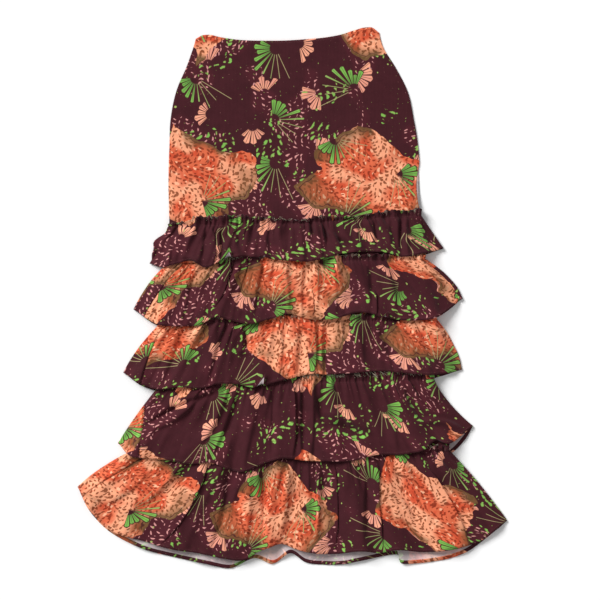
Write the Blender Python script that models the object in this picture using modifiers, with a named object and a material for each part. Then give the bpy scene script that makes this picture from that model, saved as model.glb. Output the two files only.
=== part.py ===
"""A long fitted skirt with five gathered ruffle tiers, laid flat on its back.

Metres. +X runs to the right as seen from above, +Y from the hem to the waist, +Z up. The skirt
rests on z = 0, and its pieces are laid down in this order: five back ruffles, the back panel,
the front panel, then five front ruffles from the lowest tier to the highest. Each piece settles
on what is already there, so every wall keeps a gap of SEAM_GAP to its neighbours.
"""

from collections import namedtuple

import bpy
import numpy as np

MM = 0.001

# The cloth and how its pieces meet.
WALL = 1.2 * MM
SEAM_GAP = 0.4 * MM
STEEPEST = 0.5  # the upright share of the steepest triangle's normal

# The panels.
PANEL_COLUMNS = 16
PANEL_ROWS = 17
PANEL_END = 300 * MM  # how far below y = 0 the lowest seam allowance of the panels ends
PUFF = 2.0 * MM  # how far the middle of the front panel stands off the back one
PUFF_END = 0.5  # the share of the panel's length at which the ruffles press it flat

# The ruffles.
HEADING = 8 * MM  # the frill that stands above the gathering stitches
HEADING_LIFT = 1.4 * MM
GATHER_RISE = 3.0 * MM
BACK_GATHER_RISE = 1.4 * MM
BACK_SEAM_RISE = 2.0 * MM  # how far a back ruffle's seam stands off the floor, up to its panel
COLUMNS_PER_FOLD = 4
FRONT_ROWS = (-1.0, 0.0, 0.14, 0.42, 0.74, 1.0)  # -1 the heading's edge, 0 the seam, 1 the hem
BACK_ROWS = (-1.0, 0.0, 0.22, 0.6, 1.0)
FLAT_SHARE = 0.3  # the share of a back wave's height that is pressed flat on the floor

# Settling.
CELL = 1.5 * MM  # of the height map
MAP_HALF_SIZE = 0.51
SETTLE_ROUNDS = 60
SETTLED = 0.02 * MM
TEST_SAMPLES = 9  # along each side of a triangle that settles
COVER_SAMPLES = 36  # along each side of a triangle that is settled on
PANEL_BRIDGING = 2  # rounds of smoothing over what lies under a piece
RUFFLE_BRIDGING = 6

Side = namedtuple("Side", "y left right")
Waist = namedtuple("Waist", "share y")
Fold = namedtuple("Fold", "x y rise")
Tier = namedtuple("Tier", "name seam_left seam_middle seam_right bow_left bow_right front back")

# The side seams in millimetres, from the waist down.
SIDES = (
    Side(474, -168, 149),
    Side(440, -176, 158),
    Side(405, -185, 179),
    Side(365, -202, 200),
    Side(305, -214, 213),
    Side(262, -215, 220),
    Side(207, -217, 222),
    Side(150, -215, 223),
    Side(60, -218, 231),
    Side(-45, -228, 250),
    Side(-155, -232, 246),
    Side(-270, -264, 272),
    Side(-300, -268, 276),
)

# The waist's edge in millimetres, dipping at the centre, by share of the width.
WAISTLINE = (
    Waist(0.0, 458),
    Waist(0.08, 459.5),
    Waist(0.19, 456),
    Waist(0.34, 450.5),
    Waist(0.5, 450),
    Waist(0.66, 453),
    Waist(0.78, 459.5),
    Waist(0.88, 469),
    Waist(0.94, 474.3),
    Waist(1.0, 469),
)

# Each tier, in millimetres: the heights of its seam, how far its two side edges bow outwards,
# and a row for each fold of its front and back hems, from the left tip to the right one.
TIERS = (
    Tier(
        name="1",
        seam_left=124,
        seam_middle=129,
        seam_right=143,
        bow_left=6,
        bow_right=0,
        front=(
            Fold(-248, 59, 0), Fold(-230, 53, 5), Fold(-208, 57, 1), Fold(-177, 64, 8),
            Fold(-150, 52, 2), Fold(-120, 66, 9), Fold(-84, 71, 1), Fold(-45, 68, 7),
            Fold(-6, 64, 1), Fold(30, 63, 8), Fold(60, 70, 2), Fold(92, 77, 9),
            Fold(128, 80, 2), Fold(164, 78, 8), Fold(194, 71, 2), Fold(228, 77, 6),
            Fold(263, 85, 0),
        ),
        back=(
            Fold(-248, 59, 0), Fold(-214, 50, 1), Fold(-168, 56, 0), Fold(-118, 58, 5),
            Fold(-66, 62, 0), Fold(-8, 58, 5), Fold(48, 62, 0), Fold(104, 68, 5),
            Fold(160, 70, 0), Fold(212, 70, 1), Fold(263, 85, 0),
        ),
    ),
    Tier(
        name="2",
        seam_left=59,
        seam_middle=62,
        seam_right=66,
        bow_left=6,
        bow_right=12,
        front=(
            Fold(-277, -22, 0), Fold(-255, -36, 6), Fold(-231, -48, 1), Fold(-197, -50, 8),
            Fold(-162, -48, 2), Fold(-135, -34, 7), Fold(-108, -40, 1), Fold(-74, -46, 10),
            Fold(-40, -38, 3), Fold(-6, -29, 8), Fold(32, -38, 1), Fold(72, -37, 9),
            Fold(118, -26, 2), Fold(165, -36, 10), Fold(210, -40, 1), Fold(254, -34, 8),
            Fold(296, -3, 0),
        ),
        back=(
            Fold(-277, -22, 0), Fold(-234, -50, 1), Fold(-182, -46, 0), Fold(-128, -40, 5),
            Fold(-70, -42, 0), Fold(-10, -38, 5), Fold(50, -40, 0), Fold(112, -34, 5),
            Fold(176, -38, 0), Fold(242, -38, 1), Fold(296, -3, 0),
        ),
    ),
    Tier(
        name="3",
        seam_left=-45,
        seam_middle=-42,
        seam_right=-39,
        bow_left=6,
        bow_right=8,
        front=(
            Fold(-295, -133, 0), Fold(-268, -150, 6), Fold(-234, -160, 1), Fold(-196, -156, 9),
            Fold(-163, -159, 2), Fold(-132, -151, 8), Fold(-98, -151, 1), Fold(-64, -157, 10),
            Fold(-28, -148, 2), Fold(4, -140, 7), Fold(36, -136, 11), Fold(62, -144, 2),
            Fold(104, -141, 8), Fold(156, -134, 1), Fold(206, -143, 9), Fold(250, -137, 2),
            Fold(296, -127, 0),
        ),
        back=(
            Fold(-295, -133, 0), Fold(-264, -155, 4), Fold(-226, -165, 0), Fold(-160, -160, 5),
            Fold(-94, -158, 0), Fold(-30, -154, 5), Fold(34, -150, 0), Fold(98, -148, 5),
            Fold(162, -148, 0), Fold(236, -144, 1), Fold(296, -127, 0),
        ),
    ),
    Tier(
        name="4",
        seam_left=-157,
        seam_middle=-151,
        seam_right=-143,
        bow_left=3,
        bow_right=-8,
        front=(
            Fold(-304, -257, 0), Fold(-284, -276, 6), Fold(-250, -281, 1), Fold(-212, -284, 8),
            Fold(-176, -290, 2), Fold(-142, -287, 9), Fold(-112, -299, 1), Fold(-84, -303, 10),
            Fold(-52, -290, 2), Fold(-18, -280, 9), Fold(24, -284, 1), Fold(66, -285, 10),
            Fold(108, -284, 2), Fold(146, -274, 8), Fold(186, -274, 1), Fold(224, -267, 9),
            Fold(250, -250, 3), Fold(276, -254, 7), Fold(316, -227, 0),
        ),
        back=(
            Fold(-304, -257, 0), Fold(-262, -284, 1), Fold(-206, -288, 0), Fold(-150, -292, 5),
            Fold(-90, -298, 0), Fold(-30, -290, 5), Fold(36, -288, 0), Fold(104, -286, 5),
            Fold(172, -280, 0), Fold(232, -276, 3), Fold(276, -274, 0), Fold(302, -250, 3),
            Fold(316, -227, 0),
        ),
    ),
    Tier(
        name="5",
        seam_left=-262,
        seam_middle=-281,
        seam_right=-268,
        bow_left=11,
        bow_right=4,
        front=(
            Fold(-375.5, -334, 0), Fold(-362, -360, 6), Fold(-336, -394, 2), Fold(-304, -415, 8),
            Fold(-258, -430, 1), Fold(-212, -444, 10), Fold(-162, -450, 2), Fold(-116, -454, 9),
            Fold(-78, -447, 3), Fold(-38, -426, 11), Fold(-10, -433, 3), Fold(30, -446, 10),
            Fold(78, -448, 2), Fold(118, -445, 11), Fold(150, -449, 3), Fold(186, -442, 12),
            Fold(230, -447, 2), Fold(282, -440, 9), Fold(328, -427, 1), Fold(358, -406, 5),
            Fold(375.5, -392, 0),
        ),
        back=(
            Fold(-375.5, -334, 0), Fold(-354, -368, 4), Fold(-318, -406, 0), Fold(-262, -437, 5),
            Fold(-206, -455, 0), Fold(-152, -467, 6), Fold(-109, -474, 0), Fold(-76, -459, 5),
            Fold(-34, -466, 0), Fold(-6, -450, 6), Fold(52, -470, 0), Fold(118, -465, 5),
            Fold(184, -451, 0), Fold(194, -467, 4), Fold(262, -461, 0), Fold(304, -447, 4),
            Fold(338, -424, 0), Fold(375.5, -392, 0),
        ),
    ),
)

# Colour of the print where each piece shows, linear, and the roughness of the matt jersey.
AUBERGINE = (0.069, 0.020, 0.023, 1)
CORAL = (0.604, 0.168, 0.082, 1)
CLOTH_ROUGHNESS = 0.85
TIER_COLOURS = {"1": AUBERGINE, "2": CORAL, "3": CORAL, "4": AUBERGINE, "5": CORAL}


def column_of(rows, name):
    return np.array([getattr(row, name) for row in rows], float)


def smooth_curve(values, at):
    """A Catmull-Rom curve through rows of values, read at fractional row numbers."""
    values = np.asarray(values, float)
    first = 2 * values[0] - values[1]
    last = 2 * values[-1] - values[-2]
    padded = np.vstack([first, values, last])
    row = np.minimum(at.astype(int), len(values) - 2)
    f = (at - row)[:, None]
    before, start, end, after = (padded[row + k] for k in range(4))
    return (
        start
        + 0.5 * f * (end - before)
        + 0.5 * f**2 * (2 * before - 5 * start + 4 * end - after)
        + 0.5 * f**3 * (3 * (start - end) + after - before)
    )


def eased(values, at):
    """Rows of values joined by cosine waves, so that each row is a crest or a trough."""
    row = np.minimum(at.astype(int), len(values) - 2)
    f = 0.5 - 0.5 * np.cos(np.pi * (at - row))
    return values[row] * (1 - f) + values[row + 1] * f


def side_at(y, side):
    """The x of a side seam at height y, in metres."""
    heights = column_of(SIDES, "y")[::-1] * MM
    return np.interp(y, heights, column_of(SIDES, side)[::-1] * MM)


class LaidSkirt:
    """The height map of what is already laid down, which the next piece settles on."""

    def __init__(self):
        cells = int(2 * MAP_HALF_SIZE / CELL)
        self.tops = np.full((cells, cells), -SEAM_GAP)

    def clearance(self, points):
        """The lowest that the underside of a piece may lie at each point."""
        last = len(self.tops) - 1
        cells = np.clip(((points[..., :2] + MAP_HALF_SIZE) / CELL).astype(int), 1, last - 1)
        near = (-1, 0, 1)
        around = [self.tops[cells[..., 0] + i, cells[..., 1] + j] for i in near for j in near]
        return np.max(around, axis=0) + SEAM_GAP

    def cover(self, points, triangles):
        """Adds a laid piece's upper side to the map."""
        samples, weights = spread_over(points, triangles, COVER_SAMPLES)
        tops = samples[:, 2] + np.repeat(upright_half_wall(points, triangles), len(weights))
        cells = ((samples[:, :2] + MAP_HALF_SIZE) / CELL).astype(int)
        np.maximum.at(self.tops, (cells[:, 0], cells[:, 1]), tops)


def grid_triangles(rows, columns):
    """Corner numbers of the two triangles in each cell of a grid, facing up."""
    start = (np.arange(rows - 1)[:, None] * columns + np.arange(columns - 1)).ravel()
    below = start + columns
    upper = np.stack([start, below, below + 1], axis=1)
    lower = np.stack([start, below + 1, start + 1], axis=1)
    return np.concatenate([upper, lower])


def upright_half_wall(points, triangles):
    """Half of the wall, measured straight up, in each triangle: more where it slopes."""
    start, second, third = (points[triangles[:, corner]] for corner in range(3))
    normal = np.cross(second - start, third - start)
    upright = np.abs(normal[:, 2]) / np.linalg.norm(normal, axis=1)
    return WALL / 2 / np.maximum(upright, STEEPEST)


def spread_over(points, triangles, count):
    """Samples spread evenly over each triangle, and their weights on its three corners."""
    steps = range(count + 1)
    weights = np.array([(i, j, count - i - j) for i in steps for j in steps if i + j <= count]) / count
    samples = np.einsum("kc,tcx->tkx", weights, points[triangles])
    return samples.reshape(-1, 3), weights


def settle(points, triangles, laid):
    """Lifts the corners of each triangle until the whole of it clears what is laid down."""
    for _ in range(SETTLE_ROUNDS):
        samples, weights = spread_over(points, triangles, TEST_SAMPLES)
        short = (laid.clearance(samples) - samples[:, 2]).reshape(len(triangles), -1)
        short += upright_half_wall(points, triangles)[:, None]
        if short.max() < SETTLED:
            break
        lift = np.zeros(len(points))
        shares = weights / (weights**2).sum(axis=1, keepdims=True)
        for corner in range(3):
            needed = (np.maximum(short, 0) * shares[:, corner]).max(axis=1)
            np.maximum.at(lift, triangles[:, corner], needed)
        points[:, 2] += lift


def lay(name, grid, rise, laid, bridging, colour):
    """Drapes a grid of plan points over what is laid down, its own folds added, and makes its solid."""
    rows, columns = grid.shape[:2]
    low = laid.clearance(grid) + WALL / 2
    height = low.copy()
    for _ in range(bridging):
        inner = height[:, 1:-1]
        across = (height[:, :-2] + inner + height[:, 2:]) / 3
        framed = np.vstack([across[:1], across, across[-1:]])
        height[:, 1:-1] = np.maximum(low[:, 1:-1], (framed[:-2] + framed[1:-1] + framed[2:]) / 3)
    points = np.dstack([grid, height + rise]).reshape(-1, 3)
    triangles = grid_triangles(rows, columns)
    settle(points, triangles, laid)
    laid.cover(points, triangles)
    return make_shell(name, points, triangles, colour)


def make_shell(name, points, triangles, colour):
    """One cloth piece: its middle surface, thickened to both sides."""
    mesh = bpy.data.meshes.new(name)
    mesh.from_pydata(points.tolist(), [], triangles.tolist())
    mesh.materials.append(cloth_material(name, colour))
    mesh.shade_smooth()
    piece = bpy.data.objects.new(name, mesh)
    bpy.data.collections["tiered_ruffle_skirt"].objects.link(piece)
    wall = piece.modifiers.new("wall", "SOLIDIFY")
    wall.thickness = WALL
    wall.offset = 0
    return piece


def cloth_material(name, colour):
    material = bpy.data.materials.new(name)
    material.use_nodes = True
    shader = material.node_tree.nodes["Principled BSDF"]
    shader.inputs["Base Color"].default_value = colour
    shader.inputs["Roughness"].default_value = CLOTH_ROUGHNESS
    return material


def panel_grid():
    """Plan points of a panel: rows from the waist's edge down, columns from the left side seam."""
    share = np.linspace(0, 1, PANEL_COLUMNS + 1)
    top = np.interp(share, column_of(WAISTLINE, "share"), column_of(WAISTLINE, "y") * MM)
    down = np.linspace(0, 1, PANEL_ROWS + 1)[:, None]
    y = top * (1 - down) - PANEL_END * down
    left, right = side_at(y, "left"), side_at(y, "right")
    return np.dstack([left + (right - left) * share, y])


def ruffle_grid(tier, folds, rows):
    """Plan points of half a ruffle, row by row, and the fold number of each column."""
    fold = np.linspace(0, len(folds) - 1, COLUMNS_PER_FOLD * (len(folds) - 1) + 1)
    hem = smooth_curve(np.stack([column_of(folds, "x"), column_of(folds, "y")], axis=1) * MM, fold)
    along = np.concatenate([[0], np.cumsum(np.linalg.norm(np.diff(hem, axis=0), axis=1))])
    share = along / along[-1]
    seam_heights = np.array([tier.seam_left, tier.seam_middle, tier.seam_right]) * MM
    seam_y = smooth_curve(seam_heights[:, None], share * 2)[:, 0]
    left, right = side_at(seam_y, "left"), side_at(seam_y, "right")
    seam = np.stack([left + (right - left) * share, seam_y], axis=1)
    bow = (tier.bow_right * share**6 - tier.bow_left * (1 - share) ** 6) * MM
    grid = []
    for row in rows:
        drop = max(row, 0)
        plan = seam * (1 - drop) + hem * drop
        plan[:, 0] += bow * 4 * drop * (1 - drop)
        plan[:, 1] += HEADING * max(-row, 0)
        grid.append(plan)
    return np.array(grid), fold


def gathers(fold, row):
    """The small gathers: pinched at the stitches, full just below them and gone at the hem."""
    fullness = np.interp(row, (-1, 0, 0.14, 0.5, 1), (1.0, 0.45, 1.0, 0.45, 0))
    return fullness * (0.5 - 0.5 * np.cos(2 * np.pi * fold))


def front_rise(folds, fold):
    """Height of a front ruffle's gathers and waves, a row for each row of its grid."""
    wave = eased(column_of(folds, "rise") * MM, fold)
    return np.array(
        [
            GATHER_RISE * gathers(fold, row) + wave * max(row, 0) ** 1.2 + HEADING_LIFT * max(-row, 0)
            for row in FRONT_ROWS
        ]
    )


def back_rise(folds, fold):
    """The same for a back ruffle, whose troughs are pressed flat on the floor below its seam."""
    wave = eased(column_of(folds, "rise") * MM, fold)
    pressed = np.maximum(wave - FLAT_SHARE * wave.max(), 0) / (1 - FLAT_SHARE)
    return np.array(
        [
            BACK_GATHER_RISE * gathers(fold, row) + pressed * max(row, 0) + BACK_SEAM_RISE * (row <= 0)
            for row in BACK_ROWS
        ]
    )


def clear_the_scene():
    for thing in list(bpy.data.objects):
        bpy.data.objects.remove(thing)


def main():
    clear_the_scene()
    skirt = bpy.data.collections.new("tiered_ruffle_skirt")
    bpy.context.scene.collection.children.link(skirt)
    laid = LaidSkirt()
    for tier in TIERS:
        grid, fold = ruffle_grid(tier, tier.back, BACK_ROWS)
        rise = back_rise(tier.back, fold)
        lay(f"ruffle_{tier.name}_back", grid, rise, laid, RUFFLE_BRIDGING, TIER_COLOURS[tier.name])
    panel = panel_grid()
    flat = np.zeros(panel.shape[:2])
    lay("panel_back", panel, flat, laid, PANEL_BRIDGING, AUBERGINE)
    across = np.sin(np.linspace(0, np.pi, PANEL_COLUMNS + 1))
    down = np.linspace(0, 1, PANEL_ROWS + 1)[:, None]
    puff = PUFF * across * np.cos(np.pi / 2 * np.minimum(down / PUFF_END, 1))
    lay("panel_front", panel, puff, laid, PANEL_BRIDGING, AUBERGINE)
    for tier in reversed(TIERS):
        grid, fold = ruffle_grid(tier, tier.front, FRONT_ROWS)
        rise = front_rise(tier.front, fold)
        lay(f"ruffle_{tier.name}_front", grid, rise, laid, RUFFLE_BRIDGING, TIER_COLOURS[tier.name])


main()
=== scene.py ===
"""The looks of a long fitted skirt with five gathered ruffle tiers, laid flat on its back.

Metres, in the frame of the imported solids: +X to the right as seen from above, +Y from the hem to
the waist, +Z up. Each cloth piece is a thin sheet of jersey laid on the form of its own solid. It
gets its gathers, creases and turned hem here, and is kept clear of the cloth that lies under it.
"""

from collections import namedtuple
from functools import partial

import bpy
import numpy as np
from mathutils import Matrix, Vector
from mathutils.bvhtree import BVHTree


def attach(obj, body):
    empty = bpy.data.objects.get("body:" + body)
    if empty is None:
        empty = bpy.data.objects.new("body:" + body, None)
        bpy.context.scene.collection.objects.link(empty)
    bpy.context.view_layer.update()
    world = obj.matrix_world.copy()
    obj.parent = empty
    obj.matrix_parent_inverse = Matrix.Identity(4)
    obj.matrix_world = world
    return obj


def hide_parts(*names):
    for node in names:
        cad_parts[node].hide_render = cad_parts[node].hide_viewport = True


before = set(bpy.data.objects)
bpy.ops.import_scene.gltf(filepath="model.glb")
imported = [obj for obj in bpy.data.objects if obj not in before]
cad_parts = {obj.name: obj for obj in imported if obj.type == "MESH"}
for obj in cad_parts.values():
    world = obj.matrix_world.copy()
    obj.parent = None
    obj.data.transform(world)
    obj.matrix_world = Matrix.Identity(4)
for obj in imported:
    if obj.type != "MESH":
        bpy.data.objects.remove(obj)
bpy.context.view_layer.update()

MM = 0.001

# The cloth.
CLOTH = 0.55 * MM  # thickness of the jersey
HEM = 5 * MM  # how far the hem is turned in
TURNED_PRINT = 6.5 * MM  # how far from the edge the printed face shows on the reverse
HEADING = 8 * MM  # the frill above the gathering stitches
GAP = 0.3 * MM  # between sheets that lie on each other
HEADING_ROWS = 5
ROWS_CLOSE_UP = 1.15  # how much closer the rows are below the stitches, as a power
HEM_ROWS = (1.0, 1.25)  # where two more rows turn the hem, in widths of it
PANEL_STEP = 6 * MM
PANEL_ROW_STEP = 5 * MM
PANEL_END = 300 * MM  # how far below y = 0 the panels end
PANEL_SEEDS = {"front": 30, "back": 31}
PANEL_UNEVEN = 0.5 * MM
PANEL_WAVES = 70 * MM  # from one wave of that unevenness to the next
DRAWN_IN = 6 * MM  # how far the front panel's right edge draws in, so that the back panel shows
DRAWN_TOP = 235 * MM
DRAWN_END = 150 * MM
DRAWN_NEAR = 8  # how near that edge it stays, as a power
TURN_COLUMNS = 5  # of the strip that turns round each side seam
TURN_BULGE = 2.5 * MM

# How each half of a ruffle is drawn: from column to column along its hem, from row to row, the rows
# at which its solid is read, -1 the heading's edge, 0 the stitches and 1 the hem, and the number
# that its seed counts on from.
Half = namedtuple("Half", "step row_step station_rows first_seed")
HALVES = {
    "front": Half(1.3 * MM, 3.2 * MM, (-1.0, 0.0, 0.14, 0.42, 0.74, 1.0), 0),
    "back": Half(2.4 * MM, 5 * MM, (-1.0, 0.0, 0.22, 0.6, 1.0), 10),
}
EDGES = {"left": (0, -1), "right": (-1, 1)}  # a sheet's edge column, and which way is outwards

# The sewing.
THREAD = 0.2 * MM  # radius of a thread
THREAD_SIDES = 5
STITCH = 3 * MM  # from one stitch to the next
STITCH_PLACES = np.array([0, 0.12, 0.58, 0.7])  # a stitch's four points, in steps
STITCH_SINKS = 0.15 * MM * np.array([3, 1, 1, 3])  # how far each is pulled into the cloth
HEM_STITCHED = 0.8 * HEM  # how far from the edge the hem's stitches run
OVERLOCK_STEP = 2.2 * MM
OVERLOCK_DEPTH = 4.5 * MM
OVERLOCK_DEPTHS = (0.5, 1.2)  # the least and most of that depth
OVERLOCK_SHIFT = 0.25  # how uneven its steps are
OVERLOCK_RADIUS = 0.26 * MM
WOOLLY_RADIUS = 0.42 * MM  # of the pale overlock, whose thread is bulkier
OVERLOCK_SEED = 50

# The gathers, which start at the stitches: in front many short ones, fewer long ones and a few
# broad ones.
Gather = namedtuple("Gather", "step height length half_width")
GATHERS = {
    "front": (
        Gather(step=6.5 * MM, height=3.4 * MM, length=15 * MM, half_width=1.9 * MM),
        Gather(step=16 * MM, height=4.2 * MM, length=55 * MM, half_width=3.8 * MM),
        Gather(step=44 * MM, height=4.4 * MM, length=170 * MM, half_width=9 * MM),
    ),
    "back": (Gather(step=12 * MM, height=0.8 * MM, length=18 * MM, half_width=4 * MM),),
}
GATHER_SHIFT = 0.4  # how far a gather is from its even place at most, in steps
GATHER_LENGTHS = 0.5  # how much their lengths differ
GATHER_HEIGHTS = (0.4, 1.4)  # the least and most of their height
GATHER_DRIFT = 0.1  # how much they run sideways
GATHER_WIDENS = 0.6  # how much wider a gather is where it has faded
GATHER_LEAN = 0.45
PINCH = 4 * MM  # how far from the stitches a gather reaches its full height
PINCHED = 0.5  # how much lower it is at the stitches, as a share

# The creases. Those of the back halves, which are hidden, are spread evenly, in millimetres.
CREASE_DEPTH = 2.6  # how deep they are drawn, in the heights of their tables
CREASE_PAST = 0.12  # how far a crease runs on past each end, as a share of its length
CREASE_RISES = 0.3  # the shares of its length over which it rises and fades
CREASE_FADES = 0.45
STEEP = 0.45  # how wide a crease's steep side is, as a share of its soft side
LAP_TURN = 6.5 * MM  # width of the cloth that turns under where it laps
LAP_OVERHANG = 2 * MM
LAP_FADE = 3  # how far a lap's raised side reaches, in widths of its crease
HIDDEN_STEP = 46
HIDDEN_SHIFT = 14
HIDDEN_ENDS = (30, 20)  # how near the left and the right side seam they may be, before their shifts
HIDDEN_TOP = 6  # how far below the stitches they start
HIDDEN_LOWER_END = 14  # how far above the hem they end
HIDDEN_SPREADS = (0.12, 0.36)  # how much further from the middle their lower ends are, as a share
HIDDEN_BOW = 5
HIDDEN_WIDTHS = (7, 12)
HIDDEN_HEIGHTS = (0.8, 1.6)

# What is uneven.
STANDS_UP = 11 * MM  # the most that a fold stands off its sheet's smooth form
HEADING_LOWER = 0.4  # how much less that is at the heading's edge, as a share
WAVES = 6  # that make up an unevenness
WAVE_SIZES = (0.7, 1.5)  # the least and most of their sizes
UNEVEN = 0.35 * MM
UNEVEN_WAVES = 45 * MM
HEM_RIPPLE = 0.5 * MM
RIPPLE_WAVES = 14 * MM
RIPPLE_REACH = 12 * MM  # how far into the cloth the hem's ripple is felt
FRILL_WAVES = 9 * MM
FRILL_LEAN = 0.4  # how much a gather still leans above the stitches
FRILL_FULLER = 0.3  # how much higher it is at the heading's edge, as a share
FRILL_DEPTH = 1.9 * MM
FRILL_REACH = 1.8 * MM  # how far its edge wanders up and down
FRILL_SHIFT = FRILL_REACH / 2  # how far it wanders sideways
TURNED_LIFT = 2 * MM  # how high a turned corner lies over its own cloth, rising at 45 degrees
SPARE = 0.7  # how much longer the cloth is at a turned corner, as a share of its depth
SPARE_FROM = 2.5  # how far from the hem that starts, in depths
GROOVE_DEPTH = 2 * MM  # of a side seam that shows on the front
GROOVE_HALF_WIDTH = 1.5 * MM
ROLL_HEIGHT = 1.6 * MM  # how high the cloth outside it rolls

# The print, in millimetres and radians: slanted coral patches on aubergine, with fans of leaves,
# blossoms, dashes and dots.
PATCH_REPEAT = (316, 310)
PATCH_HALF_WIDTH = 118
PATCH_HALF_HEIGHT = 120
PATCH_SLANT = 0.22
PATCH_WANDER = 80  # how far a patch's outline wanders in all
PATCH_WANDER_SCALE = 0.011  # of that wandering's noise, to the millimetre
PATCH_RAGGED = 16  # how ragged its edge is
PATCH_RAGGED_SCALE = 0.06
PATCH_TRIM = 13  # how much smaller it is made in the end, so that no slivers are left
SHADED = (4, 42)  # how far inside a patch's edge its olive shade is full, and where it has faded
SHADE_STRENGTH = 0.95
SHADE_LINE = 9  # how far inside the edge the dark line in that shade runs
SHADE_LINE_HALF_WIDTH = 0.9

# Motifs lie on a grid that a shuffle sets off from the others. Each is moved by up to jitter cells
# and turned by up to turns, and that share of the fans is absent. A fan has blades as wide as blade,
# out to spread on both sides of its middle, and thins from one side to the other or not. Brush marks
# go from the smallest to the largest, in shares of their half length and half width, and those
# under from_chance stay the smallest.
Fan = namedtuple("Fan", "grid shuffle jitter turns absent radius blade spread thins")
LEAVES = Fan((126, 112), 300.9, 0.35, 2 * np.pi, absent=0.12, radius=36, blade=0.3, spread=1.35, thins=1)
BLOSSOMS = Fan((100, 90), 210.5, 0.35, 2 * np.pi, absent=0.25, radius=32, blade=0.44, spread=0.95, thins=0)
Marks = namedtuple(
    "Marks", "grid shuffle jitter turns smallest largest half_length half_width from_chance", defaults=(0,)
)
SPOTS = Marks((9.5, 6.6), 0, 0.7, 1.2, 0.55, 1.25, 4.0, 1.7)
BIG_SPOTS = Marks((19, 13), 40.3, 0.7, 1.2, -0.6, 1.1, 6.2, 2.8)
PALE_SPOTS = Marks((13, 10), 61.7, 0.7, 1.2, -0.4, 1.2, 4.2, 2.2)
PINK_DASHES = Marks((12, 8), 90.7, 0.6, 0.9, 0.2, 1, 4.6, 1.4)
GREEN_DASHES = Marks((14, 9), 150.1, 0.5, 0.8, 0, 1, 6.2, 2.6)
DOTS = Marks((34, 28), 25.3, 0.8, 0, -0.5, 1, 2.4, 2.4, from_chance=0.5)

# A fan's blades: shares of its radius or of the room that each blade has, and millimetres.
FAN_MIRRORED = 0.6  # the chance up to which a fan is the other way round
BLADE_START = 0.3
BLADE_LENGTHS = (0.72, 1.12)
BLADE_LONGER = 0.9  # how much longer the thinnest ones are
BLADE_HALF_WIDTHS = (0.4, 0.03)  # of the broad ones and of the thin ones
BLADE_TRIM = 0.1  # off each half, in millimetres, down to the least half width
BLADE_LEAST = 0.5
BLADE_ROUND = 0.5  # how much shorter a blade is for each millimetre from its middle line
EDGE_WIDER = 1.5  # how far a blade's dark edge reaches beyond its side, and beyond its tip
EDGE_LONGER = 2
VEIN_SOFTNESS = 0.5
PETAL_VEIN = 0.45  # half width of a petal's vein, and of a leaf's
LEAF_VEIN = 0.3

# Soft clouds and drifts: their scale to the millimetre, and the noise from which they thicken, from
# floor, and at which they are full.
Cloud = namedtuple("Cloud", "scale low high floor", defaults=(0,))
RED_CLOUDS = Cloud(0.016, 0.44, 0.56)
VIVID_CLOUDS = Cloud(0.05, 0.5, 0.64)
OLIVE_CLOUDS = Cloud(0.012, 0.46, 0.53)
PETAL_CLOUDS = Cloud(0.03, 0.4, 0.6)
PINK_DRIFTS = Cloud(0.011, 0.52, 0.58)
GREEN_DRIFTS = Cloud(0.013, 0.6, 0.63, floor=-0.5)
GREEN_DRIFTS_MOVED = (500, 900, 0)  # so that the green dashes lie in drifts of their own
FLOW_SCALE = 0.008  # of the brush marks' turning, to the millimetre
FLOW_TURNS = 18  # in radians, over the whole range of the noise
FRAYED_SCALE = 0.25  # of their edges' noise
FRAYED = 1.1  # how far the whole range of it moves an edge, as a share of the half width
UNEVEN_INK = (0.92, 1.06)  # the darkest and the lightest that the ink lies

# Jersey's wales are 0.8 mm apart, which is too fine to show, so they are drawn three times as coarse.
WALE = 2.4
COURSE = 1.8
KNIT_STRENGTH = 0.15
TWIST_SCALE = 50  # of the bands of painted light and shade that a thread's twist is drawn as
# the darkest and the lightest of the twist's painted shade and light, as shares of the thread's colour
TWIST_LIGHT_AND_SHADE = (0.75, 1.1)
LIGHT_LENGTHS = (0.6, 0.66)  # the noise between which a thread turns light, where its light share is 0
LIGHT_LOWER = 0.25  # how much lower both are where it is 1
SHOW_THROUGH = 0.4  # how much of the print shows on the reverse

# Where the print's origin, the middle of a coral patch, falls on each piece's cut, in millimetres.
PRINT_ORIGINS = {
    "panel_front": (140, 205),
    "panel_back": (40, 120),
    "ruffle_1_front": (60, 118),
    "ruffle_2_front": (12, -12),
    "ruffle_3_front": (324, -20),
    "ruffle_4_front": (20, 95),
    "ruffle_5_front": (-16, -100),
    "ruffle_1_back": (150, 100),
    "ruffle_2_back": (-90, -40),
    "ruffle_3_back": (120, -60),
    "ruffle_4_back": (-60, 80),
    "ruffle_5_back": (-10, -250),
}

# Inks and yarns.
AUBERGINE = "401A20"
WINE = "521F28"
CORAL = "D66745"
VIVID_CORAL = "CA5033"
PEACH = "F0A17C"
PALE_PEACH = "F3B08C"
LEAF_GREEN = "7AB250"
DEEP_GREEN = "588A40"
LIME = "A0B060"
OLIVE = "62492C"
BROWN = "85462A"
RED_BROWN = "8A321D"
PETAL = "EDA284"
PINK_PETAL = "E0957F"
DUSTY_PINK = "CE8F8B"
STRAW = "A79A6E"
PALE_REVERSE = "E6D8D9"
SEWING_THREAD = "5A3436"
DARK_THREAD = "3A1E20"
OVERLOCK_THREAD = "BDB49C"

# Settings that these kinds of nodes have where no others are given.
USUAL_SETTINGS = {"Mix": {"data_type": "RGBA"}, "TexNoise": {"noise_dimensions": "2D"}}

# The plan and the reading of the solids.
BOW_NEAR = 6  # how near a side edge its bow stays, as a power
STATIONS = 4  # to a fold, as in the solids
PANEL_STATION_COLUMNS = 16
PANEL_STATION_ROWS = 17
RAY_FROM = 0.2

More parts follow.
